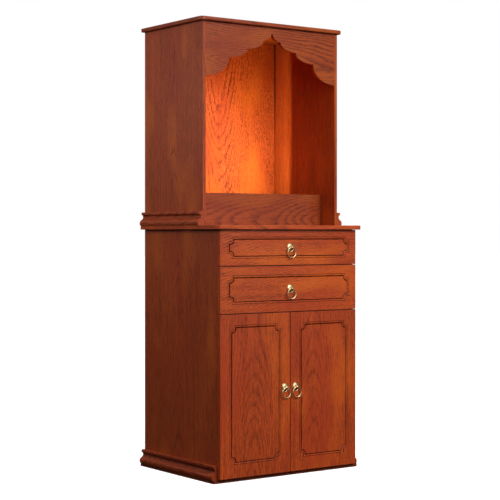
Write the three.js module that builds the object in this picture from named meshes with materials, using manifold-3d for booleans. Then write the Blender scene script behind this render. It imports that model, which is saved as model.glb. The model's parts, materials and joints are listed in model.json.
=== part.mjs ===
// Household altar cabinet: an open shrine hutch standing on a cupboard with two drawers and two doors.
// Millimetres. +X is to the viewer's right, the front faces -Y, +Z is up.
// The origin is the middle of the underside of the cabinet's outline box.

import * as THREE from 'three';
import { mergeVertices } from 'three/addons/utils/BufferGeometryUtils.js';
import Module from 'manifold-3d';

const wasm = await Module();
wasm.setup();

// Lower cabinet. Every depth is measured forward from the back plane.
const COUNTER_DEPTH = 504;
const BACK_Y = COUNTER_DEPTH / 2;
const CARCASS_WIDTH = 600;
const CARCASS_DEPTH = 469;
const SIDE_THICKNESS = 15;
const BACK_THICKNESS = 9;
const DIVIDER_THICKNESS = 15;
const BASE_BOARD_THICKNESS = 12;
const BASE_BOARD_DEPTH = 474;
const BASE_BOARD_OVERHANG = 18;
const COUNTER_UNDERSIDE = 867;
const COUNTER_THICKNESS = 15;
const COUNTER_OVERHANG = 18;
const COUNTER_EASE = 1.5;

// Shrine hutch.
const HUTCH_DEPTH = 382;
const HUTCH_SIDE_THICKNESS = 12;
const TOP_UNDERSIDE = 1591;
const TOP_THICKNESS = 14;
const TOP_DEPTH = 395;
const TOP_OVERHANG = 15;
const TOP_EASE = 3;
const BOARD_CORNER_RADIUS = 16;
const STEP_HEIGHT = 116;
const STEP_DEPTH = 299;
const STEP_THICKNESS = 12;

// Pelmet: each side of the middle has four scallops, each a quarter of an ellipse, [width, drop].
const PELMET_THICKNESS = 12;
const PELMET_RECESS = 1;
const PELMET_APEX_BELOW_TOP = 13;
const PELMET_SCALLOPS = [[38, 37], [70, 33], [80, 36], [100, 71]];
const SCALLOP_SEGMENTS = 8;

// Foot moulding of the cabinet and of the hutch, as [projection, height].
const MOULDING_HEIGHT = 48;
const MOULDING_FOOT = 20.5;
const MOULDING_BELLY = [22, 9.5];
const MOULDING_NECK = [7.5, 30];
const MOULDING_CAP = [14, 38];
const MOULDING_CAP_EDGE = 1.5;

// Fronts: the doors and drawer fronts lie over the carcass, a hair in front of it.
const FRONT_THICKNESS = 18;
const FRONT_CLEARANCE = 1;
const FRONT_GAP = 2;
const DOOR_BOTTOM = 14;
const DOOR_TOP = 576.5;
const LOWER_FRONT = [578, 740];
const UPPER_FRONT = [741.5, 866];

// Raised field on each front: a routed frame line with a scooped notch in each corner.
const GROOVE_WIDTH = 10;
const GROOVE_DEPTH = 3;
const NOTCH = 17;
const NOTCH_LEDGE = 4;
const NOTCH_SEGMENTS = 5;
const DRAWER_FIELD_SIDE_MARGIN = 41;
const UPPER_FIELD_MARGIN = 34.5;
const LOWER_FIELD_MARGIN = 41.3;
const DOOR_FIELD_SIDE_MARGIN = 49.5;
const DOOR_FIELD_TOP_MARGIN = 48;
const DOOR_FIELD_BOTTOM_MARGIN = 56;

// Drawer boxes.
const DRAWER_WALL = 12;
const DRAWER_BOTTOM_THICKNESS = 6;
const DRAWER_BOTTOM_RAISE = 8;
const DRAWER_LENGTH = 440;
const DRAWER_CLEARANCE = 1;
const UPPER_DRAWER_HEIGHT = 92;
const LOWER_DRAWER_HEIGHT = 124;

// Ring pulls: a domed plate, a knob with an eye, and a ring that hangs in the eye.
const PLATE_RADIUS = 15.5;
const PLATE_DOME = 4.5;
const PLATE_RIM = 1.6;
const PLATE_LIP = 1.2;
const KNOB_RADIUS = 5.2;
const KNOB_NECK = 4.2;
const KNOB_LENGTH = 14;
const EYE_RADIUS = 3.1;
const RING_OFFSET = 9;
const RING_RADIUS = 18;
const RING_TUBE = 2.1;
const DOOR_PULL_X = 23.5;
const DOOR_PULL_Z = 312;

// Planes and levels worked out from the sizes above.
const HALF_CARCASS = CARCASS_WIDTH / 2;
const HALF_INSIDE = HALF_CARCASS - SIDE_THICKNESS;
const CARCASS_FRONT = BACK_Y - CARCASS_DEPTH;
const FRONT_BACK_FACE = CARCASS_FRONT - FRONT_CLEARANCE;
const FRONT_FACE = FRONT_BACK_FACE - FRONT_THICKNESS;
const INSIDE_BACK = BACK_Y - BACK_THICKNESS;
const COUNTER_TOP = COUNTER_UNDERSIDE + COUNTER_THICKNESS;
const HUTCH_FRONT = BACK_Y - HUTCH_DEPTH;
const HALF_NICHE = HALF_CARCASS - HUTCH_SIDE_THICKNESS;
const STEP_TOP = COUNTER_TOP + STEP_HEIGHT;
const STEP_FRONT = BACK_Y - STEP_DEPTH;

const cabinet = new THREE.Group();

function wood(color) {
  return new THREE.MeshStandardMaterial({ color, roughness: 0.45, metalness: 0 });
}

const outerWood = () => wood(0x8f3f22);
const frontWood = () => wood(0xa84a28);
const nicheWood = () => wood(0xb4501f);
const drawerWood = () => wood(0xb98a5c);
const brass = () => new THREE.MeshStandardMaterial({ color: 0xd0a860, roughness: 0.3, metalness: 1 });

function addMesh(name, geometry, material, parent = cabinet) {
  const mesh = new THREE.Mesh(geometry, material);
  mesh.name = name;
  parent.add(mesh);
  return mesh;
}

// A plain board between two values on each axis.
function addBoard(name, [x0, x1], [y0, y1], [z0, z1], material, parent = cabinet) {
  const mesh = addMesh(name, new THREE.BoxGeometry(x1 - x0, y1 - y0, z1 - z0), material, parent);
  mesh.position.set((x0 + x1) / 2, (y0 + y1) / 2, (z0 + z1) / 2);
}

// Skin between closed loops of equal length. With wrapLoops the last loop joins the first, as in a ring.
function skinFaces(loopCount, loopLength, wrapLoops) {
  const faces = [];
  const strips = wrapLoops ? loopCount : loopCount - 1;
  for (let k = 0; k < strips; k += 1) {
    const nextLoop = (k + 1) % loopCount;
    for (let j = 0; j < loopLength; j += 1) {
      const next = (j + 1) % loopLength;
      const a = k * loopLength + j;
      const b = k * loopLength + next;
      const c = nextLoop * loopLength + next;
      const d = nextLoop * loopLength + j;
      faces.push(a, b, c, a, c, d);
    }
  }
  return faces;
}

function meshGeometry(points, faces) {
  const geometry = new THREE.BufferGeometry();
  geometry.setAttribute('position', new THREE.Float32BufferAttribute(points.flat(), 3));
  geometry.setIndex(faces);
  return geometry;
}

function toManifold(geometry) {
  const bare = geometry.clone();
  bare.deleteAttribute('normal');
  bare.deleteAttribute('uv');
  const merged = mergeVertices(bare, 1e-4);
  return new wasm.Manifold(new wasm.Mesh({
    numProp: 3,
    vertProperties: new Float32Array(merged.attributes.position.array),
    triVerts: new Uint32Array(merged.index.array),
  }));
}

function fromManifold(solid) {
  const mesh = solid.getMesh();
  const geometry = new THREE.BufferGeometry();
  geometry.setAttribute('position', new THREE.BufferAttribute(new Float32Array(mesh.vertProperties), 3));
  geometry.setIndex(new THREE.BufferAttribute(new Uint32Array(mesh.triVerts), 1));
  return geometry;
}

// Plan of an overhanging board: square at the back, rounded at the two front corners, drawn
// anticlockwise. The inset draws the sides and the front in, and leaves the back where it is.
function boardPlan(halfWidth, depth, inset) {
  const halfX = halfWidth - inset;
  const frontY = BACK_Y - depth + inset;
  const radius = BOARD_CORNER_RADIUS - inset;
  const arcSteps = 6;
  const plan = [[halfX, BACK_Y], [-halfX, BACK_Y]];
  for (const side of [-1, 1]) {
    for (let i = 0; i <= arcSteps; i += 1) {
      const turn = (Math.PI / 2) * (i / arcSteps);
      const angle = side < 0 ? Math.PI + turn : 1.5 * Math.PI + turn;
      const centreX = side * (halfX - radius);
      plan.push([centreX + radius * Math.cos(angle), frontY + radius + radius * Math.sin(angle)]);
    }
  }
  return plan;
}

// Upright section of a board's edge with both arrises rounded, from the bottom up as [height, inset].
function easedEdge(thickness, radius) {
  const steps = 3;
  const lower = [];
  for (let i = 0; i <= steps; i += 1) {
    const turn = (Math.PI / 2) * (i / steps);
    lower.push([radius * (1 - Math.cos(turn)), radius * (1 - Math.sin(turn))]);
  }
  const upper = lower.map(([height, inset]) => [thickness - height, inset]);
  return [...lower, ...upper.reverse()];
}

// An overhanging board whose sides and front have the given edge section.
function addBoardWithEdge(name, halfWidth, depth, underside, edge) {
  const plans = edge.map(([, inset]) => boardPlan(halfWidth, depth, inset));
  const loopLength = plans[0].length;
  const points = plans.flatMap((plan, k) => plan.map(([x, y]) => [x, y, underside + edge[k][0]]));
  const faces = skinFaces(plans.length, loopLength, false);
  const lastLoop = (plans.length - 1) * loopLength;
  const toVectors = (plan) => plan.map(([x, y]) => new THREE.Vector2(x, y));
  for (const [a, b, c] of THREE.ShapeUtils.triangulateShape(toVectors(plans[0]), [])) {
    faces.push(a, c, b);
  }
  for (const [a, b, c] of THREE.ShapeUtils.triangulateShape(toVectors(plans.at(-1)), [])) {
    faces.push(lastLoop + a, lastLoop + b, lastLoop + c);
  }
  addMesh(name, meshGeometry(points, faces), frontWood());
}

// Foot moulding against one side, its section drawn outward from that side: a foot, a full belly,
// a hollow neck and a small cap. It runs from the back plane forward.
function addFootMoulding(name, side, bottom, depth) {
  const [bellyOut, bellyUp] = MOULDING_BELLY;
  const [neckOut, neckUp] = MOULDING_NECK;
  const [capOut, capUp] = MOULDING_CAP;
  const section = new THREE.Shape();
  section.moveTo(0, 0);
  section.lineTo(side * MOULDING_FOOT, 0);
  section.quadraticCurveTo(side * bellyOut, bellyUp / 3, side * bellyOut, bellyUp);
  section.bezierCurveTo(
    side * bellyOut, (bellyUp + neckUp) / 2,
    side * neckOut, (bellyUp + neckUp) / 2,
    side * neckOut, neckUp,
  );
  section.quadraticCurveTo(side * neckOut, capUp, side * capOut, capUp);
  section.lineTo(side * capOut, MOULDING_HEIGHT - MOULDING_CAP_EDGE);
  section.lineTo(side * (capOut - MOULDING_CAP_EDGE), MOULDING_HEIGHT);
  section.lineTo(0, MOULDING_HEIGHT);
  const geometry = new THREE.ExtrudeGeometry(section, { depth, bevelEnabled: false, curveSegments: 6 });
  geometry.rotateX(Math.PI / 2);
  const mesh = addMesh(name, geometry, outerWood());
  mesh.position.set(side * HALF_CARCASS, BACK_Y, bottom);
}

// Half of the pelmet's lower edge from the middle outward. Each scallop starts upright and ends level.
function pelmetEdge(side) {
  const edge = [];
  let innerX = 0;
  let topZ = TOP_UNDERSIDE - PELMET_APEX_BELOW_TOP;
  for (const [width, drop] of PELMET_SCALLOPS) {
    const first = edge.length === 0 ? 0 : 1;
    for (let i = first; i <= SCALLOP_SEGMENTS; i += 1) {
      const turn = (Math.PI / 2) * (i / SCALLOP_SEGMENTS);
      const x = innerX + width * (1 - Math.cos(turn));
      edge.push([side * x, topZ - drop * Math.sin(turn)]);
    }
    innerX += width;
    topZ -= drop;
  }
  return edge;
}

function addPelmet() {
  const rightEdge = pelmetEdge(1);
  const leftEdge = pelmetEdge(-1).reverse().slice(0, -1);
  const outline = new THREE.Shape();
  outline.moveTo(HALF_NICHE, TOP_UNDERSIDE);
  outline.lineTo(-HALF_NICHE, TOP_UNDERSIDE);
  for (const [x, z] of [...leftEdge, ...rightEdge]) {
    outline.lineTo(x, z);
  }
  const geometry = new THREE.ExtrudeGeometry(outline, { depth: PELMET_THICKNESS, bevelEnabled: false });
  geometry.rotateX(Math.PI / 2);
  const mesh = addMesh('pelmet', geometry, frontWood());
  mesh.position.y = HUTCH_FRONT + PELMET_RECESS + PELMET_THICKNESS;
}

// Outline of a field with a scooped notch in each corner: a short ledge, a quarter circle, a short
// ledge. Growing it moves the edges out and shrinks the scoop around its own centre.
function notchedOutline(width, height, grow) {
  const halfWidth = width / 2 + grow;
  const halfHeight = height / 2 + grow;
  const ledge = NOTCH_LEDGE + grow;
  const scoop = NOTCH - ledge;
  const corners = [[1, 1], [-1, 1], [-1, -1], [1, -1]];
  return corners.flatMap(([sideX, sideZ]) => {
    const corner = [[sideX * halfWidth, sideZ * (halfHeight - NOTCH)]];
    for (let i = 0; i <= NOTCH_SEGMENTS; i += 1) {
      const turn = (Math.PI / 2) * (i / NOTCH_SEGMENTS);
      const x = halfWidth - ledge - scoop * Math.sin(turn);
      const z = halfHeight - ledge - scoop * Math.cos(turn);
      corner.push([sideX * x, sideZ * z]);
    }
    corner.push([sideX * (halfWidth - NOTCH), sideZ * halfHeight]);
    return sideX * sideZ > 0 ? corner : corner.reverse();
  });
}

// Cutter for the routed frame line around a field. Its section has an upright wall at the field and
// a long slope on the outside. Given as [growth, depth], clockwise as seen along the outline.
function grooveCutter(width, height, centreX, centreZ) {
  const section = [
    [0, -2],
    [0, GROOVE_DEPTH],
    [2, GROOVE_DEPTH],
    [GROOVE_WIDTH * 0.6, GROOVE_DEPTH * 0.45],
    [GROOVE_WIDTH, 0.5],
    [GROOVE_WIDTH, -2],
  ];
  const loops = section.map(([grow]) => notchedOutline(width, height, grow));
  const points = loops.flatMap((loop, k) => loop.map(
    ([x, z]) => [centreX + x, FRONT_FACE + section[k][1], centreZ + z],
  ));
  return toManifold(meshGeometry(points, skinFaces(section.length, loops[0].length, true)));
}

// A door or drawer front with its field. The field is given as [left, right, bottom, top].
function addFront(name, [x0, x1], [z0, z1], [left, right, bottom, top], parent) {
  const slab = new THREE.BoxGeometry(x1 - x0, FRONT_THICKNESS, z1 - z0);
  slab.translate((x0 + x1) / 2, FRONT_FACE + FRONT_THICKNESS / 2, (z0 + z1) / 2);
  const cutter = grooveCutter(right - left, top - bottom, (left + right) / 2, (bottom + top) / 2);
  addMesh(name, fromManifold(toManifold(slab).subtract(cutter)), frontWood(), parent);
}

// Brass plate and knob, cast as one, with the eye drilled across the knob. Turned about the knob's axis.
function pullPlateGeometry() {
  const domeRadius = PLATE_RADIUS - PLATE_LIP;
  const profile = [[0, 0], [PLATE_RADIUS, 0], [PLATE_RADIUS, PLATE_RIM * 0.6], [domeRadius, PLATE_RIM]];
  const domeSteps = 3;
  for (let i = 1; i <= domeSteps; i += 1) {
    const turn = (Math.PI / 2) * (i / domeSteps);
    const radius = KNOB_NECK + (domeRadius - KNOB_NECK) * Math.cos(turn);
    profile.push([radius, PLATE_RIM + (PLATE_DOME - PLATE_RIM) * Math.sin(turn)]);
  }
  const knobSteps = 5;
  for (let i = 0; i < knobSteps; i += 1) {
    const turn = (Math.PI / 2) * (i / knobSteps);
    const along = KNOB_LENGTH - KNOB_RADIUS * (1 - Math.sin(turn));
    profile.push([KNOB_RADIUS * Math.cos(turn), along]);
  }
  profile.push([0, KNOB_LENGTH]);
  const turned = new THREE.LatheGeometry(profile.map(([r, along]) => new THREE.Vector2(r, along)), 20);
  const eye = new THREE.CylinderGeometry(EYE_RADIUS, EYE_RADIUS, 4 * KNOB_RADIUS, 16);
  eye.rotateZ(Math.PI / 2);
  eye.translate(0, RING_OFFSET, 0);
  const casting = fromManifold(toManifold(turned).subtract(toManifold(eye)));
  casting.rotateX(Math.PI);
  return casting;
}

function addPull(suffix, x, z, parent) {
  const plate = addMesh(`pull_plate_${suffix}`, pullPlateGeometry(), brass(), parent);
  plate.position.set(x, FRONT_FACE, z);
  const hoop = new THREE.TorusGeometry(RING_RADIUS, RING_TUBE, 8, 28);
  hoop.rotateX(Math.PI / 2);
  const ring = addMesh(`pull_ring_${suffix}`, hoop, brass(), parent);
  ring.position.set(x, FRONT_FACE - RING_OFFSET, z - RING_RADIUS);
}

// A drawer: its front, with box sides, back and bottom behind it.
function addDrawer(name, [z0, z1], fieldMargin, boxBottom, boxHeight) {
  const drawer = new THREE.Group();
  cabinet.add(drawer);
  const fieldHalf = HALF_CARCASS - DRAWER_FIELD_SIDE_MARGIN;
  const field = [-fieldHalf, fieldHalf, z0 + fieldMargin, z1 - fieldMargin];
  addFront(`${name}_front`, [-HALF_CARCASS, HALF_CARCASS], [z0, z1], field, drawer);
  const outer = HALF_INSIDE - DRAWER_CLEARANCE;
  const inner = outer - DRAWER_WALL;
  const boxBack = FRONT_BACK_FACE + DRAWER_LENGTH;
  const length = [FRONT_BACK_FACE, boxBack];
  const height = [boxBottom, boxBottom + boxHeight];
  addBoard(`${name}_side_left`, [-outer, -inner], length, height, drawerWood(), drawer);
  addBoard(`${name}_side_right`, [inner, outer], length, height, drawerWood(), drawer);
  const backWall = [boxBack - DRAWER_WALL, boxBack];
  addBoard(`${name}_back`, [-inner, inner], backWall, height, drawerWood(), drawer);
  const panelBottom = boxBottom + DRAWER_BOTTOM_RAISE;
  const panelHeight = [panelBottom, panelBottom + DRAWER_BOTTOM_THICKNESS];
  const panelLength = [FRONT_BACK_FACE, boxBack - DRAWER_WALL];
  addBoard(`${name}_bottom`, [-inner, inner], panelLength, panelHeight, drawerWood(), drawer);
  addPull(name, 0, (z0 + z1) / 2, drawer);
}

function addDoor(name, side) {
  const door = new THREE.Group();
  cabinet.add(door);
  const meeting = side * (FRONT_GAP / 2);
  const outer = side * HALF_CARCASS;
  const width = [Math.min(meeting, outer), Math.max(meeting, outer)];
  const field = [
    width[0] + DOOR_FIELD_SIDE_MARGIN,
    width[1] - DOOR_FIELD_SIDE_MARGIN,
    DOOR_BOTTOM + DOOR_FIELD_BOTTOM_MARGIN,
    DOOR_TOP - DOOR_FIELD_TOP_MARGIN,
  ];
  addFront(name, width, [DOOR_BOTTOM, DOOR_TOP], field, door);
  addPull(name, side * DOOR_PULL_X, DOOR_PULL_Z, door);
}

function addLowerCabinet() {
  const board = [BASE_BOARD_THICKNESS, COUNTER_UNDERSIDE];
  const depth = [CARCASS_FRONT, BACK_Y];
  const baseHalf = HALF_CARCASS + BASE_BOARD_OVERHANG;
  const baseDepth = [BACK_Y - BASE_BOARD_DEPTH, BACK_Y];
  addBoard('base_board', [-baseHalf, baseHalf], baseDepth, [0, BASE_BOARD_THICKNESS], outerWood());
  addBoard('side_left', [-HALF_CARCASS, -HALF_INSIDE], depth, board, outerWood());
  addBoard('side_right', [HALF_INSIDE, HALF_CARCASS], depth, board, outerWood());
  addBoard('cupboard_back', [-HALF_INSIDE, HALF_INSIDE], [INSIDE_BACK, BACK_Y], board, outerWood());
  addFootMoulding('base_moulding_left', -1, BASE_BOARD_THICKNESS, CARCASS_DEPTH);
  addFootMoulding('base_moulding_right', 1, BASE_BOARD_THICKNESS, CARCASS_DEPTH);
  const dividers = [
    ['divider_under_drawers', (DOOR_TOP + LOWER_FRONT[0]) / 2],
    ['divider_between_drawers', (LOWER_FRONT[1] + UPPER_FRONT[0]) / 2],
  ];
  for (const [name, middle] of dividers) {
    const height = [middle - DIVIDER_THICKNESS / 2, middle + DIVIDER_THICKNESS / 2];
    const inside = [CARCASS_FRONT, INSIDE_BACK];
    addBoard(name, [-HALF_INSIDE, HALF_INSIDE], inside, height, outerWood());
  }
  const counterHalf = HALF_CARCASS + COUNTER_OVERHANG;
  const counterEdge = easedEdge(COUNTER_THICKNESS, COUNTER_EASE);
  addBoardWithEdge('countertop', counterHalf, COUNTER_DEPTH, COUNTER_UNDERSIDE, counterEdge);
}

function addHutch() {
  const height = [COUNTER_TOP, TOP_UNDERSIDE];
  const depth = [HUTCH_FRONT, BACK_Y];
  addBoard('hutch_side_left', [-HALF_CARCASS, -HALF_NICHE], depth, height, outerWood());
  addBoard('hutch_side_right', [HALF_NICHE, HALF_CARCASS], depth, height, outerWood());
  addBoard('hutch_back', [-HALF_NICHE, HALF_NICHE], [INSIDE_BACK, BACK_Y], height, nicheWood());
  addFootMoulding('hutch_moulding_left', -1, COUNTER_TOP, HUTCH_DEPTH);
  addFootMoulding('hutch_moulding_right', 1, COUNTER_TOP, HUTCH_DEPTH);
  const riser = [STEP_FRONT, STEP_FRONT + STEP_THICKNESS];
  addBoard('step_riser', [-HALF_NICHE, HALF_NICHE], riser, [COUNTER_TOP, STEP_TOP], frontWood());
  const tread = [STEP_FRONT + STEP_THICKNESS, INSIDE_BACK];
  const treadHeight = [STEP_TOP - STEP_THICKNESS, STEP_TOP];
  addBoard('step_board', [-HALF_NICHE, HALF_NICHE], tread, treadHeight, frontWood());
  addPelmet();
  const topHalf = HALF_CARCASS + TOP_OVERHANG;
  addBoardWithEdge('top_board', topHalf, TOP_DEPTH, TOP_UNDERSIDE, easedEdge(TOP_THICKNESS, TOP_EASE));
}

addLowerCabinet();
addHutch();
const upperFloor = (LOWER_FRONT[1] + UPPER_FRONT[0] + DIVIDER_THICKNESS) / 2 + DRAWER_CLEARANCE;
const lowerFloor = (DOOR_TOP + LOWER_FRONT[0] + DIVIDER_THICKNESS) / 2 + DRAWER_CLEARANCE;
addDrawer('drawer_upper', UPPER_FRONT, UPPER_FIELD_MARGIN, upperFloor, UPPER_DRAWER_HEIGHT);
addDrawer('drawer_lower', LOWER_FRONT, LOWER_FIELD_MARGIN, lowerFloor, LOWER_DRAWER_HEIGHT);
addDoor('door_left', -1);
addDoor('door_right', 1);

export default cabinet;
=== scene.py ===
import json
import math

import bmesh
import bpy
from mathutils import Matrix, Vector
from mathutils.geometry import interpolate_bezier

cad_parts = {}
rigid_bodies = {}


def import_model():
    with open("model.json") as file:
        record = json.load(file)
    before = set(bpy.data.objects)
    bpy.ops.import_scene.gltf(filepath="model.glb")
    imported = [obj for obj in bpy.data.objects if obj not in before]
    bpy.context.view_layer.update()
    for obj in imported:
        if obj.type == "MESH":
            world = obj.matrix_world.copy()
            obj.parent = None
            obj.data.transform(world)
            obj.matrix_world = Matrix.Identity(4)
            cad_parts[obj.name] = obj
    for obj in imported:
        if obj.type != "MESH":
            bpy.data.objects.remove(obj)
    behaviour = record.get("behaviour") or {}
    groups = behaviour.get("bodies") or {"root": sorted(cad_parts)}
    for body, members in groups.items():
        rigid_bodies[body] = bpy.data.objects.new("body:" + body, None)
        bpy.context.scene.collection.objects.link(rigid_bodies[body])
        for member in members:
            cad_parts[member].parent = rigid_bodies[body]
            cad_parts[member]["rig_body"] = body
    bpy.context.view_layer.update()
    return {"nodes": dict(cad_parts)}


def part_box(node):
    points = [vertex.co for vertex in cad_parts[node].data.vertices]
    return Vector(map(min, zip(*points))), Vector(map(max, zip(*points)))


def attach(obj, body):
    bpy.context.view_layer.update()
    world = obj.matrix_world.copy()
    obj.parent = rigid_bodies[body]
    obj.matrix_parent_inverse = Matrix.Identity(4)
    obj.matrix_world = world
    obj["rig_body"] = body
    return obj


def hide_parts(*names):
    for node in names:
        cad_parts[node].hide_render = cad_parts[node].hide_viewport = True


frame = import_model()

# Household altar cabinet: an open shrine over two drawers and a two-door cupboard.
# Metres. +X is to the viewer's right, the front faces -Y, +Z is up.

MM = 0.001
X, Y, Z = 0, 1, 2

# How far the arrises of the boards are rounded.
DRAWER_BOX_EASE = 0.6 * MM
BOARD_EASE = 1.0 * MM
FRONT_EASE = 1.3 * MM
COUNTER_EASE = 1.5 * MM
TOP_EASE = 3.0 * MM
BOARD_CORNER_RADIUS = 16 * MM

# Points of the mesh that are closer than this are one point.
SAME_POINT = 0.01 * MM

# Raised field on each front, with a scooped notch in every corner, and its distance from the front's edges.
NOTCH = 17 * MM
NOTCH_LEDGE = 4 * MM
DRAWER_FIELD_SIDE_MARGIN = 41 * MM
UPPER_FIELD_MARGIN = 34.5 * MM
LOWER_FIELD_MARGIN = 41.3 * MM
DOOR_FIELD_SIDE_MARGIN = 49.5 * MM
DOOR_FIELD_TOP_MARGIN = 48 * MM
DOOR_FIELD_BOTTOM_MARGIN = 56 * MM

# Section of the routed line around a field, as millimetres outward from the field and into the front.
GROOVE_SECTION = [
    (-0.6, 0.0), (-0.2, 0.12), (0.0, 0.5), (0.1, 2.7), (0.5, 3.0), (1.7, 3.0), (2.3, 2.2), (3.0, 1.0),
    (4.2, 0.45), (6.0, 0.3), (7.4, 0.35), (7.9, 0.6), (8.2, 1.7), (9.2, 1.7), (9.6, 0.5), (10.0, 0.0),
]
GROOVE_DEPTH = 3 * MM

# Foot mouldings. The belly, the neck and the cap are (how far out, how high) from the moulding's foot.
MOULDING_FOOT = 20.5 * MM
MOULDING_TOE = 0.6 * MM
MOULDING_BELLY = (22 * MM, 9.5 * MM)
MOULDING_NECK = (7.5 * MM, 30 * MM)
MOULDING_CAP = (14 * MM, 38 * MM)
MOULDING_CAP_ROUND = 3.5 * MM
MOULDING_CAP_SETBACK = 1.4 * MM

# Pelmet: four scallops on each side of the middle, each a quarter of an ellipse, (width, drop).
PELMET_APEX_BELOW_TOP = 13 * MM
PELMET_EASE = 0.9 * MM
PELMET_SCALLOPS = [(38 * MM, 37 * MM), (70 * MM, 33 * MM), (80 * MM, 36 * MM), (100 * MM, 71 * MM)]

# Ring pulls. The plate's rolled rim is given as millimetres in from its edge and out from the front.
# The knob is a ball that starts below its middle by an angle, where it grows out of its neck.
PLATE_RADIUS = 15.5 * MM
PLATE_RIM = [(0.3, 0.0), (0.0, 0.4), (0.0, 1.0), (0.5, 1.6), (1.1, 1.6), (1.9, 1.2)]
DOME_RADIUS = 13.3 * MM
DOME_FOOT = 1.3 * MM
DOME_TOP = 4.5 * MM
KNOB_RADIUS = 5.2 * MM
KNOB_NECK = 4.2 * MM
KNOB_LENGTH = 14 * MM
KNOB_CLEAR_OF_PLATE = 5 * MM
KNOB_START = math.radians(-54)
EYE_RADIUS = 3.1 * MM
EYE_EASE = 0.35 * MM
RING_OFFSET = 9 * MM
RING_RADIUS = 18 * MM
RING_TUBE = 2.1 * MM


# ---------------------------------------------------------------- camera, floor and lights

CAMERA_PLACE = (-3.0042, -4.1453, 0.8534)
CAMERA_TURN = math.radians(35.89)
CAMERA_LENS = 100.74
CAMERA_SENSOR = 36
CAMERA_SHIFT_Y = -0.0333

# Middle of the fronts, where the softboxes in front of the cabinet aim.
FRONT_MIDDLE = (0, -0.24, 0.9)

# Where the lit strip ends on the shrine's right wall, and the size of the lamps that light it.
LIT_STRIP_END = (0.288, 0.135)
LAMP_RADIUS = 0.01

# The even light from all round brightens while the upward part of its direction goes from low to high.
SURROUND_RISE = (-0.35, 0.5)
SURROUND_LIGHT = (0.01, 0.15)
FLOOR_GLOW = 0.6


def make_camera():
    """Level, at half the cabinet's height, from its left front."""
    camera = bpy.data.objects.new("camera", bpy.data.cameras.new("camera"))
    bpy.context.scene.collection.objects.link(camera)
    camera.location = CAMERA_PLACE
    camera.rotation_euler = (math.radians(90), 0, -CAMERA_TURN)
    camera.data.lens = CAMERA_LENS
    camera.data.sensor_width = CAMERA_SENSOR
    camera.data.shift_y = CAMERA_SHIFT_Y
    bpy.context.scene.camera = camera


def aim(thing, target):
    thing.rotation_euler = (Vector(target) - thing.location).to_track_quat("-Z", "Y").to_euler()


def add_light(name, kind, place, target, power, colour=(1, 1, 1)):
    data = bpy.data.lights.new(name, kind)
    data.energy = power
    data.color = colour
    light = bpy.data.objects.new(name, data)
    bpy.context.scene.collection.objects.link(light)
    light.location = place
    aim(light, target)
    light.visible_camera = False
    return light


def softbox(name, place, target, size, power):
    light = add_light(name, "AREA", place, target, power)
    light.data.shape = "RECTANGLE"
    light.data.size, light.data.size_y = size


def shrine_lamp(name, place, power, blend, colour):
    """A warm lamp in the shrine that only lights what lies behind an upright plane through it.
    The plane meets the right wall where the lit strip beside the corner ends."""
    edge = Vector((*LIT_STRIP_END, place[Z]))
    along = edge - Vector(place)
    behind = Vector((-along.y, along.x, 0)).normalized()
    light = add_light(name, "SPOT", place, Vector(place) + behind, power, colour)
    light.data.spot_size = math.pi
    light.data.spot_blend = blend
    light.data.shadow_soft_size = LAMP_RADIUS
    light.visible_glossy = False


def make_lights():
    softbox("key_softbox", (0.5, -4.1, 3.2), FRONT_MIDDLE, (1.6, 1.6), power=150)
    softbox("fill_softbox", (-1.3, -4.4, 2.2), FRONT_MIDDLE, (1.6, 1.6), power=45)
    softbox("glare_softbox", (2.2, -3.9, 1.0), FRONT_MIDDLE, (0.8, 0.9), power=8)
    softbox("side_softbox", (-1.9, 0.3, 1.8), (-0.3, 0.1, 1.3), (1.4, 1.2), power=15)
    softbox("side_glare_softbox", (-2.2, 2.6, 1.6), (-0.3, 0.1, 1.2), (1.0, 1.0), power=2)
    overhead = add_light("overhead_sky", "SUN", (0, 0, 4), (0, 0.5, 0), power=1.5)
    overhead.data.angle = math.radians(50)
    shrine_lamp("shrine_lamp_far", (0.03, -0.04, 1.27), power=4.7, blend=0.0, colour=(1.0, 0.9, 0.55))
    shrine_lamp("shrine_lamp_low", (0.10, 0.09, 1.08), power=2.0, blend=0.1, colour=(0.8, 1.0, 0.75))


def make_world():
    """A white studio to the camera, and a dim even light from above for everything else."""
    world = bpy.data.worlds.new("studio")
    bpy.context.scene.world = world
    world.use_nodes = True
    tree = world.node_tree
    tree.nodes.clear()
    direction = tree.nodes.new("ShaderNodeTexCoord")
    split = tree.nodes.new("ShaderNodeSeparateXYZ")
    tree.links.new(direction.outputs["Generated"], split.inputs[0])
    height = tree.nodes.new("ShaderNodeMapRange")
    height.inputs["From Min"].default_value = SURROUND_RISE[0]
    height.inputs["From Max"].default_value = SURROUND_RISE[1]
    height.inputs["To Min"].default_value = SURROUND_LIGHT[0]
    height.inputs["To Max"].default_value = SURROUND_LIGHT[1]
    tree.links.new(split.outputs["Z"], height.inputs["Value"])
    dim = tree.nodes.new("ShaderNodeBackground")
    tree.links.new(height.outputs["Result"], dim.inputs["Strength"])
    white = tree.nodes.new("ShaderNodeBackground")
    white.inputs["Color"].default_value = (1, 1, 1, 1)
    white.inputs["Strength"].default_value = 1.0
    seen = tree.nodes.new("ShaderNodeLightPath")
    mix = tree.nodes.new("ShaderNodeMixShader")
    tree.links.new(seen.outputs["Is Camera Ray"], mix.inputs["Fac"])
    tree.links.new(dim.outputs[0], mix.inputs[1])
    tree.links.new(white.outputs[0], mix.inputs[2])
    output = tree.nodes.new("ShaderNodeOutputWorld")
    tree.links.new(mix.outputs[0], output.inputs["Surface"])


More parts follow.
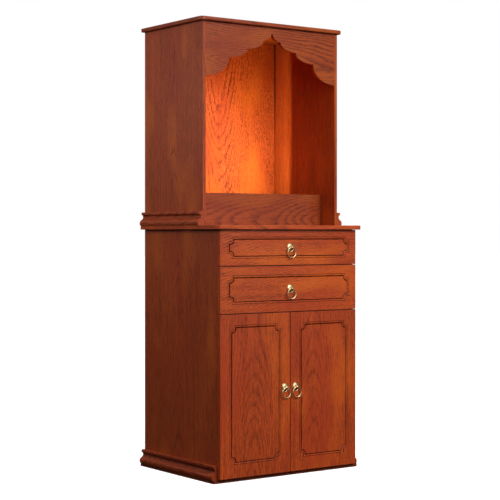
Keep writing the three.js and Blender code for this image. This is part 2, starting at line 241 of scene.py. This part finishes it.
def make_floor():
    """A wide white floor that catches the cabinet's shadow."""
    bm = bmesh.new()
    bmesh.ops.create_grid(bm, x_segments=1, y_segments=1, size=40)
    mesh = bpy.data.meshes.new("studio_floor")
    bm.to_mesh(mesh)
    bm.free()
    floor = bpy.data.objects.new("studio_floor", mesh)
    bpy.context.scene.collection.objects.link(floor)
    floor.visible_diffuse = False
    floor.visible_glossy = False
    material = bpy.data.materials.new("pale_floor")
    material.use_nodes = True
    shader = material.node_tree.nodes["Principled BSDF"]
    shader.inputs["Base Color"].default_value = (0.9, 0.9, 0.9, 1)
    shader.inputs["Roughness"].default_value = 0.9
    shader.inputs["Specular IOR Level"].default_value = 0.0
    shader.inputs["Emission Color"].default_value = (1, 1, 1, 1)
    shader.inputs["Emission Strength"].default_value = FLOOR_GLOW
    mesh.materials.append(material)


# ---------------------------------------------------------------- finishes

# Where a Mix node keeps its colours.
MIX_FIRST, MIX_SECOND, MIX_RESULT = 6, 7, 2


class Finish:
    """A new material with short ways to add its nodes. Sockets and plain values may be mixed."""

    def __init__(self, name):
        self.material = bpy.data.materials.new(name)
        self.material.use_nodes = True
        self.tree = self.material.node_tree
        self.shader = self.tree.nodes["Principled BSDF"]

    def feed(self, socket, value):
        if isinstance(value, bpy.types.NodeSocket):
            self.tree.links.new(value, socket)
        else:
            socket.default_value = value

    def node(self, kind, inputs, output=0, **settings):
        made = self.tree.nodes.new("ShaderNode" + kind)
        for key, value in settings.items():
            setattr(made, key, value)
        for key, value in inputs.items():
            self.feed(made.inputs[key], value)
        return made.outputs[output]

    def maths(self, operation, *values):
        return self.node("Math", dict(enumerate(values)), operation=operation)

    def vector_maths(self, operation, *values, output=0):
        return self.node("VectorMath", dict(enumerate(values)), output, operation=operation)

    def here(self):
        """Place in the cabinet's own frame."""
        return self.node("TexCoord", {}, "Object")

    def parts(self, vector):
        """A vector's three sockets."""
        made = self.tree.nodes.new("ShaderNodeSeparateXYZ")
        self.feed(made.inputs[0], vector)
        return made.outputs

    def noise(self, place, scale, detail=2.0, roughness=0.5, output="Fac"):
        """Noise with as many cells to the metre as scale says, on each axis."""
        stretched = self.vector_maths("MULTIPLY", place, scale)
        inputs = {"Vector": stretched, "Scale": 1.0, "Detail": detail, "Roughness": roughness}
        return self.node("TexNoise", inputs, output, noise_dimensions="3D")

    def ranged(self, value, low, high, to_low=0.0, to_high=1.0):
        """Smoothly from to_low to to_high while the value goes from low to high."""
        inputs = {"Value": value, "From Min": low, "From Max": high, "To Min": to_low, "To Max": to_high}
        return self.node("MapRange", inputs, interpolation_type="SMOOTHSTEP")

    def ramp(self, value, stops):
        """Greys between stops of (position, grey)."""
        made = self.tree.nodes.new("ShaderNodeValToRGB")
        elements = made.color_ramp.elements
        while len(elements) < len(stops):
            elements.new(1.0)
        for element, (position, grey) in zip(elements, stops):
            element.position = position
            element.color = (grey, grey, grey, 1)
        self.feed(made.inputs[0], value)
        return made.outputs["Color"]

    def mix(self, amount, first, second):
        made = self.tree.nodes.new("ShaderNodeMix")
        made.data_type = "RGBA"
        self.feed(made.inputs["Factor"], amount)
        self.feed(made.inputs[MIX_FIRST], first)
        self.feed(made.inputs[MIX_SECOND], second)
        return made.outputs[MIX_RESULT]

    def paint_shade(self, amount, colour):
        """Painted shade over the colour."""
        return self.mix(amount, colour, (*PAINTED_SHADE_DARK, 1))


# The stain from light to deep, what has pooled of it in pores, the painted shade in grooves and corners, and
# the brass.
STAIN_ORANGE = (0.62, 0.115, 0.010)
STAIN_LIGHT = (0.54, 0.082, 0.013)
STAIN_RED = (0.38, 0.040, 0.009)
STAIN_DEEP = (0.17, 0.019, 0.004)
PORE_DARK = (0.060, 0.008, 0.003)
# Colour of the painted shade in grooves, gaps and corners.
PAINTED_SHADE_DARK = (0.030, 0.006, 0.003)
BRASS_PALE = (0.82, 0.62, 0.36)
BRASS_DEEP = (0.62, 0.43, 0.20)

# Painted shade on a routed front: in the groove below a depth, and along its top and bottom edges.
GROOVE_SHADE_DEPTHS = (0.7 * MM, 1.5 * MM)
GROOVE_SHADE = 0.93
SHADE_MARGIN = 12 * MM
EDGE_SHADE_WIDTH = 1.3 * MM
EDGE_SHADE = 0.7

# Painted shade on a shrine side, in its corner with the back: how far from the back it starts and is full,
# and the heights between which it deepens.
CORNER_SHADE_REACH = (16 * MM, 5 * MM)
CORNER_SHADE_HEIGHTS = (1.15, 1.45)
CORNER_SHADE = 0.75

# Marks in the wood, as cells to the metre across the board, into it and along the grain.
DRIFT_CELLS = (2.4, 2.4, 1.3)
RIPPLE_CELLS = (17, 17, 4.5)
FIBRE_CELLS = (420, 420, 5.5)
STREAK_CELLS = (75, 75, 1.6)
DASH_CELLS = (230, 230, 22)
FLECK_CELLS = (300, 300, 85)
CLOUD_CELLS = (5.5, 5.5, 2.2)
HUE_CELLS = (8.0, 8.0, 3.1)
FINE_PORE_CELLS = (1500, 1500, 95)
LONG_PORE_CELLS = (520, 520, 38)

# Tone through one year's ring, as (share of the ring, grey), and where in it the early wood lies.
RING_TONES = [(0.0, 0.10), (0.10, 0.16), (0.36, 0.70), (0.7, 1.0), (0.93, 0.78), (1.0, 0.10)]
EARLY_WOOD = (0.5, 0.1)

# How much each mark adds to the tone, which goes from the deep stain at 0 to the light one at 1.
RING_TONE = 0.50
FIBRE_TONE = 0.16
STREAK_TONE = 0.22
DASH_TONE = 0.30
FLECK_TONE = 0.55
CLOUD_TONE = 0.16


def tinted(colour, tint):
    return (colour[0] * tint[0], colour[1] * tint[1], colour[2] * tint[2], 1)


def board_place(finish, grain, face, heart):
    """Place on one board, from the tree's heart: X across it, Y into its face, Z along the grain."""
    across = ({X, Y, Z} - {grain, face}).pop()
    place = finish.parts(finish.here())
    turned = finish.node("CombineXYZ", {X: place[across], Y: place[face], Z: place[grain]})
    return finish.vector_maths("SUBTRACT", turned, heart)


def growth_rings(finish, place, seed, ring, lean, wander):
    """A board cut from a slightly leaning log. Gives the place for the board's own noises, and the
    share of the way through each year's ring, 0 to 1."""
    shifted = finish.vector_maths("ADD", place, (seed, seed * 1.7, seed * 2.3))
    moved = place
    for cells, across, into in ((DRIFT_CELLS, 1.0, 1.5), (RIPPLE_CELLS, 0.12, 0.16)):
        swing = finish.noise(shifted, cells, output="Color")
        swing = finish.vector_maths("SUBTRACT", swing, (0.5, 0.5, 0.5))
        swing = finish.vector_maths("MULTIPLY", swing, (wander * across, wander * into, 0))
        moved = finish.vector_maths("ADD", moved, swing)
    moved = finish.parts(moved)
    depth = finish.maths("MULTIPLY_ADD", moved[Z], lean, moved[Y])
    flat = finish.node("CombineXYZ", {X: moved[X], Y: depth, Z: 0.0})
    radius = finish.vector_maths("LENGTH", flat, output="Value")
    return shifted, finish.maths("FRACT", finish.maths("DIVIDE", radius, ring))


def pore_pattern(finish, place, year):
    """Open pores, crowded in the early wood of each ring."""
    fine_pores = finish.ranged(finish.noise(place, FINE_PORE_CELLS, 1.0, 0.4), 0.58, 0.70)
    long_pores = finish.ranged(finish.noise(place, LONG_PORE_CELLS, 1.0, 0.4), 0.55, 0.66)
    crowding = finish.maths("MULTIPLY_ADD", finish.ranged(year, *EARLY_WOOD), 0.75, 0.25)
    return finish.maths("MULTIPLY", finish.maths("MAXIMUM", fine_pores, long_pores), crowding)


def wood_tone(finish, place, ring_tone, fibre, contrast, speckle):
    """Lightness of the stain, 0 to 1, from the rings and the marks that run along the grain."""
    streak = finish.noise(place, STREAK_CELLS, 2.0, 0.55)
    dash = finish.noise(place, DASH_CELLS, 2.0, 0.55)
    fleck = finish.noise(place, FLECK_CELLS, 1.0, 0.5)
    cloud = finish.noise(place, CLOUD_CELLS)
    tone = finish.maths("MULTIPLY_ADD", ring_tone, RING_TONE * contrast, 0.28 - RING_TONE / 2 * contrast)
    tone = finish.maths("MULTIPLY_ADD", finish.ranged(fibre, 0.3, 0.7), FIBRE_TONE, tone)
    tone = finish.maths("MULTIPLY_ADD", finish.ranged(streak, 0.3, 0.7), STREAK_TONE, tone)
    tone = finish.maths("MULTIPLY_ADD", finish.ranged(dash, 0.35, 0.65, -0.5, 0.5), DASH_TONE, tone)
    flecks = finish.ranged(fleck, 0.35, 0.65, -0.5, 0.5)
    tone = finish.maths("MULTIPLY_ADD", flecks, FLECK_TONE * speckle, tone)
    return finish.maths("MULTIPLY_ADD", finish.ranged(cloud, 0.3, 0.7), CLOUD_TONE, tone)


def stained_colour(finish, place, tone, pores, tint):
    """The stain's colour, which turns redder and more orange in places and is darkest in the pores."""
    wood = finish.mix(tone, tinted(STAIN_DEEP, tint), tinted(STAIN_LIGHT, tint))
    hue = finish.tree.nodes.new("ShaderNodeSeparateColor")
    finish.feed(hue.inputs[0], finish.noise(place, HUE_CELLS, 1.0, 0.5, "Color"))
    wood = finish.mix(finish.ranged(hue.outputs[0], 0.46, 0.66, 0.0, 0.5), wood, tinted(STAIN_RED, tint))
    wood = finish.mix(finish.ranged(hue.outputs[1], 0.50, 0.70, 0.0, 0.55), wood, tinted(STAIN_ORANGE, tint))
    return finish.mix(finish.maths("MULTIPLY", pores, 0.72), wood, tinted(PORE_DARK, tint))


def painted_groove_shade(finish, wood, node):
    """Painted shade in the routed line below a depth, and along the front's top and bottom edges."""
    low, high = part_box(node)
    middle, half = (low + high) / 2, (high - low) / 2
    place = finish.parts(finish.here())
    depth = finish.maths("SUBTRACT", place[Y], low.y)
    painted_shade = finish.ranged(depth, *GROOVE_SHADE_DEPTHS, 0.0, GROOVE_SHADE)
    painted_shade = finish.maths("MULTIPLY", painted_shade, finish.maths("LESS_THAN", depth, GROOVE_DEPTH + 0.5 * MM))
    for axis in (X, Z):
        away = finish.maths("ABSOLUTE", finish.maths("SUBTRACT", place[axis], middle[axis]))
        inside = finish.maths("LESS_THAN", away, half[axis] - SHADE_MARGIN)
        painted_shade = finish.maths("MULTIPLY", painted_shade, inside)
    away = finish.maths("ABSOLUTE", finish.maths("SUBTRACT", place[Z], middle.z))
    edge = finish.maths("GREATER_THAN", away, half.z - EDGE_SHADE_WIDTH)
    edge = finish.maths("MULTIPLY", edge, finish.maths("LESS_THAN", depth, 2 * EDGE_SHADE_WIDTH))
    return finish.paint_shade(finish.maths("MAXIMUM", painted_shade, finish.maths("MULTIPLY", edge, EDGE_SHADE)), wood)


def painted_corner_shade(finish, wood):
    """Painted shade in the upright corner between a shrine side and the back, deepest higher up."""
    low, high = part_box("hutch_back")
    place = finish.parts(finish.here())
    start, full = (low.y - reach for reach in CORNER_SHADE_REACH)
    painted_shade = finish.ranged(place[Y], start, full, 0.0, CORNER_SHADE)
    painted_shade = finish.maths("MULTIPLY", painted_shade, finish.ranged(place[Z], *CORNER_SHADE_HEIGHTS, 0.1, 1.0))
    painted_shade = finish.maths("MULTIPLY", painted_shade, finish.maths("LESS_THAN", place[Y], high.y - 1 * MM))
    return finish.paint_shade(painted_shade, wood)


def stained_wood(name, grain=Z, face=Y, heart=(0, 0, 0), seed=1.0, ring=6.5 * MM, lean=0.11, wander=60 * MM,
                 tint=(1, 1, 1), contrast=1.0, speckle=0.5, routed_node=None, corner_shaded=False):
    """Open-grained wood under stain and satin lacquer, its figure cut from a log of its own.

    The log's heart lies at heart, across the board, into its face and along the grain. Its rings are
    ring thick, wander to the side and lean along the grain, which draws arches where they come up to
    the face. Contrast is that of the rings and speckle that of the short flecks between them.
    """
    finish = Finish(name)
    place = board_place(finish, grain, face, heart)
    place, year = growth_rings(finish, place, seed, ring, lean, wander)
    ring_tone = finish.ramp(year, RING_TONES)
    fibre = finish.noise(place, FIBRE_CELLS, 3.0, 0.6)
    pores = pore_pattern(finish, place, year)
    tone = wood_tone(finish, place, ring_tone, fibre, contrast, speckle)
    wood = stained_colour(finish, place, tone, pores, tint)
    # Painted shade in the routed grooves and in the gaps at the front's top and bottom edges.
    if routed_node:
        wood = painted_groove_shade(finish, wood, routed_node)
    # Painted shade in a shrine side's corner with the back.
    if corner_shaded:
        wood = painted_corner_shade(finish, wood)
    rough = finish.maths("MULTIPLY_ADD", pores, 0.20, finish.ranged(fibre, 0.25, 0.75, 0.36, 0.44))
    height = finish.maths("SUBTRACT", finish.maths("MULTIPLY", ring_tone, 0.35), pores)
    relief = finish.node("Bump", {"Strength": 0.35, "Distance": 0.25 * MM, "Height": height})
    finish.feed(finish.shader.inputs["Base Color"], wood)
    finish.feed(finish.shader.inputs["Roughness"], rough)
    finish.feed(finish.shader.inputs["Normal"], relief)
    finish.shader.inputs["Specular IOR Level"].default_value = 0.30
    finish.shader.inputs["Coat Weight"].default_value = 0.06
    finish.shader.inputs["Coat Roughness"].default_value = 0.28
    return finish.material


def gold_brass(name):
    """Satin brass with faint clouding and fine scratches."""
    finish = Finish(name)
    place = finish.here()
    cloud = finish.noise(place, (160, 160, 160), 3.0, 0.6)
    scratch = finish.noise(place, (900, 2600, 900), 2.0, 0.6)
    colour = finish.mix(finish.ranged(cloud, 0.35, 0.7), (*BRASS_PALE, 1), (*BRASS_DEEP, 1))
    relief = finish.node("Bump", {"Strength": 0.12, "Distance": 0.05 * MM, "Height": scratch})
    finish.feed(finish.shader.inputs["Base Color"], colour)
    finish.feed(finish.shader.inputs["Roughness"], finish.ranged(cloud, 0.3, 0.75, 0.34, 0.46))
    finish.feed(finish.shader.inputs["Normal"], relief)
    finish.shader.inputs["Metallic"].default_value = 1.0
    return finish.material


# ---------------------------------------------------------------- pieces

def finish_piece(name, bm, node, material, smooth_angle=35):
    """Makes the piece, which rides on the body of its CAD node and stands for it."""
    bmesh.ops.recalc_face_normals(bm, faces=bm.faces)
    mesh = bpy.data.meshes.new(name)
    bm.to_mesh(mesh)
    bm.free()
    mesh.shade_smooth()
    mesh.set_sharp_from_angle(angle=math.radians(smooth_angle))
    mesh.materials.append(material)
    piece = bpy.data.objects.new(name, mesh)
    bpy.context.scene.collection.objects.link(piece)
    weighted = piece.modifiers.new("even_shading", "WEIGHTED_NORMAL")
    weighted.keep_sharp = True
    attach(piece, frame["nodes"][node]["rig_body"])
    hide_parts(node)


def round_edges(bm, edges, radius, segments=3):
    bmesh.ops.bevel(bm, geom=list(edges), offset=radius, offset_type="OFFSET", affect="EDGES",
                    segments=segments, profile=0.5, material=-1, clamp_overlap=True)


def box_shape(low, high):
    bm = bmesh.new()
    bmesh.ops.create_cube(bm, size=1.0)
    bmesh.ops.scale(bm, vec=high - low, verts=bm.verts)
    bmesh.ops.translate(bm, vec=(low + high) / 2, verts=bm.verts)
    return bm


def carried_back(bm, face, distance):
    """Makes the face the front end of a solid that runs straight back."""
    run = bmesh.ops.extrude_face_region(bm, geom=[face])["geom"]
    far = [v for v in run if isinstance(v, bmesh.types.BMVert)]
    bmesh.ops.translate(bm, vec=(0, distance, 0), verts=far)


def quarter_turn(steps, start=0):
    """Cosine and sine on the way from 0 to 90 degrees."""
    for i in range(start, steps + 1):
        turn = math.pi / 2 * i / steps
        yield math.cos(turn), math.sin(turn)


def plain_board(node, material, ease=BOARD_EASE):
    bm = box_shape(*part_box(node))
    round_edges(bm, bm.edges, ease)
    finish_piece(f"{node}_board", bm, node, material)


def is_level(edge):
    """Whether the edge runs level, neither up nor aslant."""
    return abs(edge.verts[0].co.z - edge.verts[1].co.z) < 0.1 * MM


def overhanging_board(node, material, ease):
    """A board with two rounded front corners and its arrises rounded at the sides and the front."""
    low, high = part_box(node)
    bm = box_shape(low, high)
    corners = [e for e in bm.edges if not is_level(e) and all(abs(v.co.y - low.y) < MM for v in e.verts)]
    round_edges(bm, corners, BOARD_CORNER_RADIUS, 12)
    arrises = [e for e in bm.edges if is_level(e) and any(high.y - v.co.y > 0.1 * MM for v in e.verts)]
    round_edges(bm, arrises, ease, 4)
    finish_piece(f"{node}_board", bm, node, material)


def bezier(start, start_pull, end_pull, end, steps):
    points = [Vector((*p, 0)) for p in (start, start_pull, end_pull, end)]
    return [tuple(p.xy) for p in interpolate_bezier(*points, steps)]


def moulding_section(height):
    """Section of a foot moulding, outward from the cabinet's side, from the foot up."""
    belly, neck, cap = MOULDING_BELLY, MOULDING_NECK, MOULDING_CAP
    toe = (MOULDING_FOOT, MOULDING_TOE)
    middle = (belly[1] + neck[1]) / 2
    section = [(0, 0), (MOULDING_FOOT, 0)]
    section += bezier(toe, (belly[0], belly[1] * 0.3), (belly[0], belly[1] * 0.7), belly, 6)
    section += bezier(belly, (belly[0], middle), (neck[0], middle), neck, 16)[1:]
    section += bezier(neck, (neck[0], cap[1] - 3 * MM), (neck[0] + 1 * MM, cap[1]), cap, 8)[1:]
    setback, rise = MOULDING_CAP_SETBACK, MOULDING_CAP_ROUND
    for across, up in quarter_turn(6):
        section.append((cap[0] - setback * (1 - up), cap[1] + rise * (1 - across)))
    for across, up in quarter_turn(6):
        section.append((cap[0] - setback * (1 - across), height - rise * (1 - up)))
    section.append((0, height))
    return section


def foot_moulding(node, material):
    low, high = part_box(node)
    side = -1 if low.x < 0 else 1
    wall = high.x if side < 0 else low.x
    bm = bmesh.new()
    section = moulding_section(high.z - low.z)
    ring = [bm.verts.new((wall + side * out, low.y, low.z + up)) for out, up in section]
    bmesh.ops.remove_doubles(bm, verts=ring, dist=SAME_POINT)
    end = bm.faces.new([v for v in ring if v.is_valid])
    carried_back(bm, end, high.y - low.y)
    finish_piece(f"{node}_run", bm, node, material, smooth_angle=30)


def pelmet_edge(side, top):
    """Half of the pelmet's lower edge from the middle outward, each scallop from upright to level."""
    inner, height = 0.0, top - PELMET_APEX_BELOW_TOP
    edge = [(inner, height)]
    for width, drop in PELMET_SCALLOPS:
        for across, up in quarter_turn(18, start=1):
            edge.append((side * (inner + width * (1 - across)), height - drop * up))
        inner, height = inner + width, height - drop
    return edge


def scalloped_pelmet(node, material):
    low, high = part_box(node)
    outline = [(high.x, high.z), (low.x, high.z)]
    outline += pelmet_edge(-1, high.z)[::-1][:-1] + pelmet_edge(1, high.z)
    bm = bmesh.new()
    face = bm.faces.new([bm.verts.new((x, low.y, z)) for x, z in outline])
    carried_back(bm, face, high.y - low.y)
    rim = [e for e in bm.edges if all(v.co.y < low.y + 0.1 * MM for v in e.verts)]
    round_edges(bm, rim, PELMET_EASE, 2)
    finish_piece(f"{node}_scalloped", bm, node, material)


def notched_outline(width, height, grow):
    """A rectangle with a scooped notch in each corner: a ledge, a quarter circle, a ledge."""
    half_width, half_height = width / 2 + grow, height / 2 + grow
    ledge = NOTCH_LEDGE + grow
    scoop = NOTCH - ledge
    outline = []
    for side_x, side_z in ((1, 1), (-1, 1), (-1, -1), (1, -1)):
        corner = [(half_width, half_height - NOTCH)]
        for up, across in quarter_turn(10):
            corner.append((half_width - ledge - scoop * across, half_height - ledge - scoop * up))
        corner.append((half_width - NOTCH, half_height))
        corner = [(side_x * x, side_z * z) for x, z in corner]
        outline += corner if side_x * side_z > 0 else corner[::-1]
    return outline


def routed_front(node, material, margins):
    """A door or drawer front. Margins of its field are left, right, bottom and top."""
    low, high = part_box(node)
    left, right = low.x + margins[0], high.x - margins[1]
    bottom, top = low.z + margins[2], high.z - margins[3]
    centre_x, centre_z = (left + right) / 2, (bottom + top) / 2
    bm = box_shape(low, high)
    round_edges(bm, bm.edges, FRONT_EASE)
    front = max((f for f in bm.faces if f.normal.y < -0.99), key=lambda f: f.calc_area())
    rim = list(front.edges)
    bmesh.ops.delete(bm, geom=[front], context="FACES_ONLY")
    loops = []
    for grow, depth in GROOVE_SECTION:
        outline = notched_outline(right - left, top - bottom, grow * MM)
        ring = [bm.verts.new((centre_x + x, low.y + depth * MM, centre_z + z)) for x, z in outline]
        loops.append([bm.edges.new((ring[i - 1], ring[i])) for i in range(len(ring))])
    for inner, outer in zip(loops, loops[1:]):
        bmesh.ops.bridge_loops(bm, edges=inner + outer)
    bmesh.ops.contextual_create(bm, geom=loops[0])
    bmesh.ops.triangle_fill(bm, edges=rim + loops[-1], use_beauty=True, use_dissolve=False)
    finish_piece(f"{node}_panel", bm, node, material, smooth_angle=40)


def plate_profile():
    """Half section of a pull's plate and knob, as (radius, distance from the front)."""
    profile = [(0, 0)]
    profile += [(PLATE_RADIUS - inward * MM, out * MM) for inward, out in PLATE_RIM]
    for across, up in quarter_turn(8):
        radius = KNOB_NECK + (DOME_RADIUS - KNOB_NECK) * across
        profile.append((radius, DOME_FOOT + (DOME_TOP - DOME_FOOT) * up))
    steps = 16
    for i in range(steps + 1):
        turn = KNOB_START + (math.pi / 2 - KNOB_START) * i / steps
        radius = max(KNOB_RADIUS * math.cos(turn), 0)
        profile.append((radius, KNOB_LENGTH - KNOB_RADIUS * (1 - math.sin(turn))))
    return profile


def drilled_across(name, bm, centre):
    """The casting with its eye drilled through the knob from left to right."""
    cutter = bmesh.new()
    bmesh.ops.create_cone(cutter, cap_ends=True, segments=32, radius1=EYE_RADIUS, radius2=EYE_RADIUS,
                          depth=4 * KNOB_RADIUS)
    for vert in cutter.verts:
        vert.co = centre + Vector((vert.co.z, -RING_OFFSET + vert.co.y, vert.co.x))
    bmesh.ops.recalc_face_normals(cutter, faces=cutter.faces)
    things = []
    for part, shape in (("drill", cutter), ("blank", bm)):
        mesh = bpy.data.meshes.new(f"{name}_{part}")
        shape.to_mesh(mesh)
        shape.free()
        thing = bpy.data.objects.new(mesh.name, mesh)
        bpy.context.scene.collection.objects.link(thing)
        things.append(thing)
    drill, blank = things
    cut = blank.modifiers.new("eye", "BOOLEAN")
    cut.operation = "DIFFERENCE"
    cut.solver = "EXACT"
    cut.object = drill
    drilled = bmesh.new()
    drilled.from_object(blank, bpy.context.evaluated_depsgraph_get())
    for thing in things:
        bpy.data.objects.remove(thing)
    return drilled


def is_eye_mouth(edge, centre):
    """A sharp edge on the knob, where the eye breaks through."""
    sharp = len(edge.link_faces) == 2 and edge.calc_face_angle() > math.radians(50)
    return sharp and all(centre.y - v.co.y > KNOB_CLEAR_OF_PLATE for v in edge.verts)


def pull_plate(suffix, material):
    """Domed plate and knob, cast as one, with an eye that the ring hangs in."""
    node = f"pull_plate_{suffix}"
    low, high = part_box(node)
    centre = Vector(((low.x + high.x) / 2, high.y, (low.z + high.z) / 2))
    bm = bmesh.new()
    line = [bm.verts.new(centre + Vector((radius, -out, 0))) for radius, out in plate_profile()]
    edges = [bm.edges.new(pair) for pair in zip(line, line[1:])]
    bmesh.ops.spin(bm, geom=line + edges, cent=centre, axis=(0, 1, 0), angle=math.tau, steps=48,
                   use_merge=True)
    bmesh.ops.remove_doubles(bm, verts=bm.verts, dist=SAME_POINT)
    bmesh.ops.recalc_face_normals(bm, faces=bm.faces)
    bm = drilled_across(node, bm, centre)
    round_edges(bm, [e for e in bm.edges if is_eye_mouth(e, centre)], EYE_EASE, 2)
    finish_piece(f"{node}_cast", bm, node, material)


def pull_ring(suffix, material):
    node = f"pull_ring_{suffix}"
    low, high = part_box(node)
    centre = (low + high) / 2
    bm = bmesh.new()
    section = bmesh.ops.create_circle(bm, segments=20, radius=RING_TUBE)["verts"]
    for vert in section:
        vert.co = centre + Vector((RING_RADIUS + vert.co.x, vert.co.y, 0))
    edges = {e for v in section for e in v.link_edges}
    bmesh.ops.spin(bm, geom=section + list(edges), cent=centre, axis=(0, 1, 0), angle=math.tau, steps=80,
                   use_merge=True)
    bmesh.ops.remove_doubles(bm, verts=bm.verts, dist=SAME_POINT)
    finish_piece(f"{node}_bent", bm, node, material)


# ---------------------------------------------------------------- the cabinet

# Looks that several boards share.
SIDE_LOOK = dict(face=X, lean=0.06, contrast=0.35, speckle=0.25, tint=(0.88, 0.95, 1.0))
LEVEL_BOARD = dict(grain=X, face=Z)
CROSS_BOARD = dict(grain=X, face=Y)
MOULDING_LOOK = dict(grain=Y, face=X)
DRAWER_BOX_LOOK = dict(heart=(0.5, 0.1, 0.2), contrast=0.7, speckle=0.2, tint=(1.35, 4.3, 10.0))


def make_lower_cabinet():
    # The base board's tint darkens it: painted shade, as its edge lies in the shadow under the doors.
    stain = stained_wood("base_board_stain", heart=(0, -0.06, 0), seed=3.1, tint=(0.35, 0.35, 0.5),
                         **LEVEL_BOARD)
    plain_board("base_board", stain)
    for node, heart, seed in (("side_left", (0.02, -0.40, 0.2), 7.3), ("side_right", (0.0, 0.40, 0.3), 9.9)):
        plain_board(node, stained_wood(f"{node}_stain", heart=heart, seed=seed, **SIDE_LOOK))
    stain = stained_wood("cupboard_back_stain", heart=(0.05, 0.33, 0.4), seed=12.7)
    plain_board("cupboard_back", stain)
    for node, seed in (("divider_under_drawers", 14.2), ("divider_between_drawers", 15.8)):
        stain = stained_wood(f"{node}_stain", heart=(0, 0.5, 0), seed=seed, **LEVEL_BOARD)
        plain_board(node, stain)
    for node, seed in (("base_moulding_left", 17.0), ("base_moulding_right", 18.4)):
        stain = stained_wood(f"{node}_stain", heart=(0.0, -0.25, 0), seed=seed, tint=(0.7, 0.7, 0.8),
                             **MOULDING_LOOK)
        foot_moulding(node, stain)
    stain = stained_wood("countertop_stain", heart=(0.0, 0.92, 0), seed=20.6, **LEVEL_BOARD)
    overhanging_board("countertop", stain, COUNTER_EASE)


def make_shrine():
    stain = stained_wood("hutch_side_left_stain", heart=(0.05, -0.36, 1.25), seed=23.1, **SIDE_LOOK)
    plain_board("hutch_side_left", stain)
    # The right side carries painted shade in its corner with the back.
    stain = stained_wood("hutch_side_right_stain", heart=(0.06, 0.34, 1.1), seed=25.5, corner_shaded=True,
                         **SIDE_LOOK)
    plain_board("hutch_side_right", stain)
    stain = stained_wood("hutch_back_stain", heart=(0.02, 0.34, 1.75), seed=27.7, lean=0.08, wander=70 * MM,
                         contrast=0.9, speckle=1.5)
    plain_board("hutch_back", stain)
    for node, seed in (("hutch_moulding_left", 29.2), ("hutch_moulding_right", 30.9)):
        stain = stained_wood(f"{node}_stain", heart=(0.93, -0.25, 0), seed=seed, tint=(0.85, 0.9, 1.0),
                             **MOULDING_LOOK)
        foot_moulding(node, stain)
    # The step's riser and board are tinted darker: painted shade, as less light reaches the riser than the
    # fronts.
    for node, seed, look in (("step_riser", 32.3, CROSS_BOARD), ("step_board", 34.0, LEVEL_BOARD)):
        stain = stained_wood(f"{node}_stain", heart=(0.9, 0.05, 0), seed=seed, tint=(0.62, 0.68, 0.7), **look)
        plain_board(node, stain)
    # The pelmet's tint darkens it: painted shade, as it stands in less light than the drawers.
    stain = stained_wood("pelmet_stain", heart=(1.47, -0.19, 0.12), seed=36.1, ring=7.5 * MM, lean=0.13,
                         wander=120 * MM, tint=(0.68, 0.74, 0.65), contrast=1.8, **CROSS_BOARD)
    scalloped_pelmet("pelmet", stain)
    stain = stained_wood("top_board_stain", heart=(0.05, 1.65, 0), seed=38.8, tint=(0.62, 0.68, 0.75),
                         **LEVEL_BOARD)
    overhanging_board("top_board", stain, TOP_EASE)


def make_drawer(name, field_margin, seed):
    """The front is cut so that its grain climbs to the right. The box's parts share a paler wood."""
    front = f"{name}_front"
    heart = (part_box(front)[0].z - 0.16, -0.42, 0.1)
    stain = stained_wood(f"{front}_stain", heart=heart, seed=seed, lean=-0.30, contrast=0.75,
                         tint=(1.06, 1.04, 0.95), routed_node=front, **CROSS_BOARD)
    side_margin = DRAWER_FIELD_SIDE_MARGIN
    routed_front(front, stain, (side_margin, side_margin, field_margin, field_margin))
    for part, grain, face in (("side_left", Y, X), ("side_right", Y, X), ("back", X, Y), ("bottom", X, Z)):
        box_wood = stained_wood(f"{name}_{part}_wood", grain=grain, face=face, seed=seed + len(part),
                                **DRAWER_BOX_LOOK)
        plain_board(f"{name}_{part}", box_wood, DRAWER_BOX_EASE)


def make_doors():
    side_margin = DOOR_FIELD_SIDE_MARGIN
    margins = (side_margin, side_margin, DOOR_FIELD_BOTTOM_MARGIN, DOOR_FIELD_TOP_MARGIN)
    logs = (("door_left", (-0.17, -0.34, 0.45), 44.4), ("door_right", (0.10, -0.34, 0.5), 47.9))
    for node, heart, seed in logs:
        stain = stained_wood(f"{node}_stain", heart=heart, seed=seed, lean=0.06, wander=55 * MM, contrast=0.5,
                             tint=(1.0, 0.92, 0.85), routed_node=node)
        routed_front(node, stain, margins)


def make_pulls():
    brass = gold_brass("pull_brass")
    for suffix in ("drawer_upper", "drawer_lower", "door_left", "door_right"):
        pull_plate(suffix, brass)
        pull_ring(suffix, brass)


make_camera()
make_world()
make_lights()
make_floor()
make_lower_cabinet()
make_shrine()
make_drawer("drawer_upper", UPPER_FIELD_MARGIN, 40.2)
make_drawer("drawer_lower", LOWER_FIELD_MARGIN, 42.6)
make_doors()
make_pulls()
bpy.context.scene.view_settings.view_transform = "Standard"
